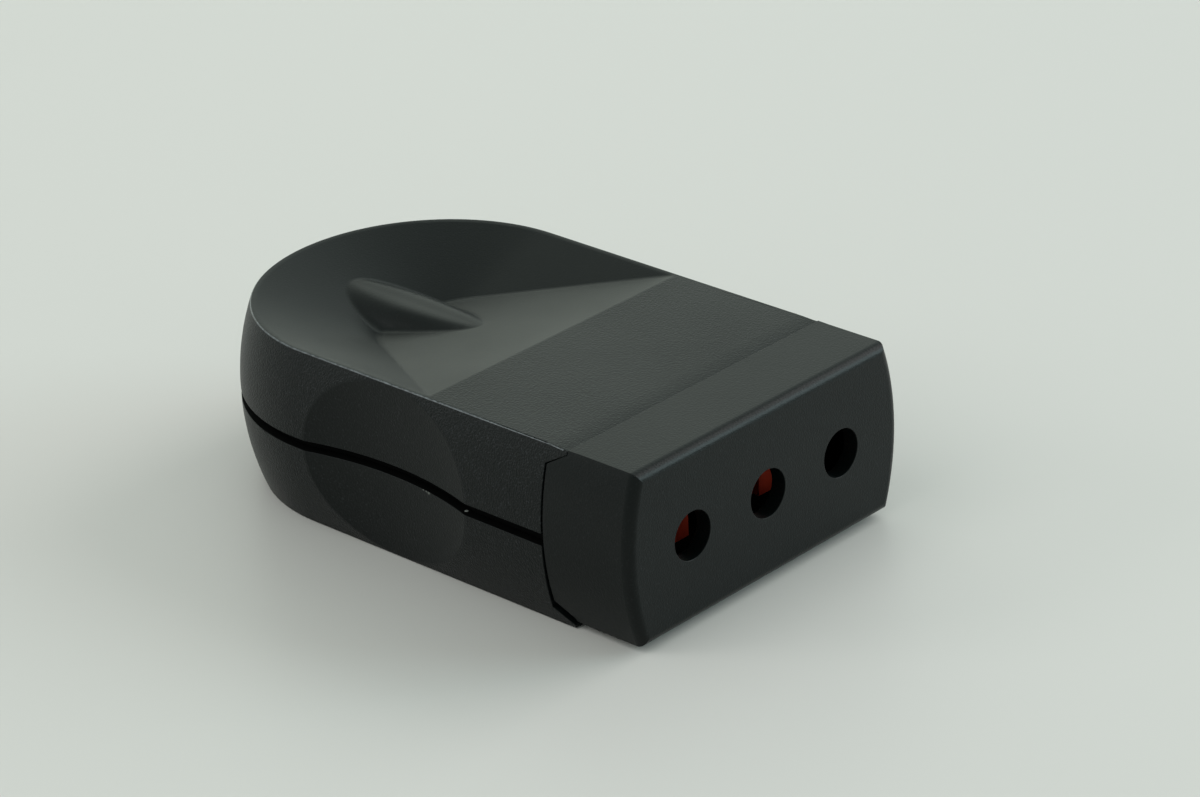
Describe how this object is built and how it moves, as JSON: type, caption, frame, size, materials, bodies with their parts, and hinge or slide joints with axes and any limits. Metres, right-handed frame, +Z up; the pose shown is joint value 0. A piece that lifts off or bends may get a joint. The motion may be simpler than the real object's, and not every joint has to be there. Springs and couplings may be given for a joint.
{
  "type": "inline power socket",
  "caption": "Inline power socket for a flexible lead: scooped black moulded body, front cap with round pin holes in line and a red contact carrier inside.",
  "frame": {"origin": "middle of the footprint, on the surface that the lower shell's flat underside rests on", "axes": "+Y along the length to the lead's end, -Y out of the pin face, +Z up to the scooped top, X across"},
  "size_m": [0.0344, 0.0562, 0.0166],
  "materials": {
    "black_plastic": "fine moulded grain, satin",
    "red_plastic": "plain moulded",
    "contact_brass": "turned and stamped",
    "spring_steel": "bright drawn",
    "plated_steel": "zinc plated"
  },
  "bodies": {
    "root": {"upper_shell": "black_plastic", "lower_shell": "black_plastic", "front_cap": "black_plastic", "contact_carrier": "red_plastic", "terminal_screws": "plated_steel", "cord_clamp": "black_plastic", "cord_clamp_screws": "plated_steel", "housing_screws": "plated_steel", "left_contact": "contact_brass", "left_contact_spring": "spring_steel", "left_terminal": "contact_brass", "earth_contact": "contact_brass", "earth_contact_spring": "spring_steel", "earth_terminal": "contact_brass", "right_contact": "contact_brass", "right_contact_spring": "spring_steel", "right_terminal": "contact_brass"}
  },
  "joints": []
}
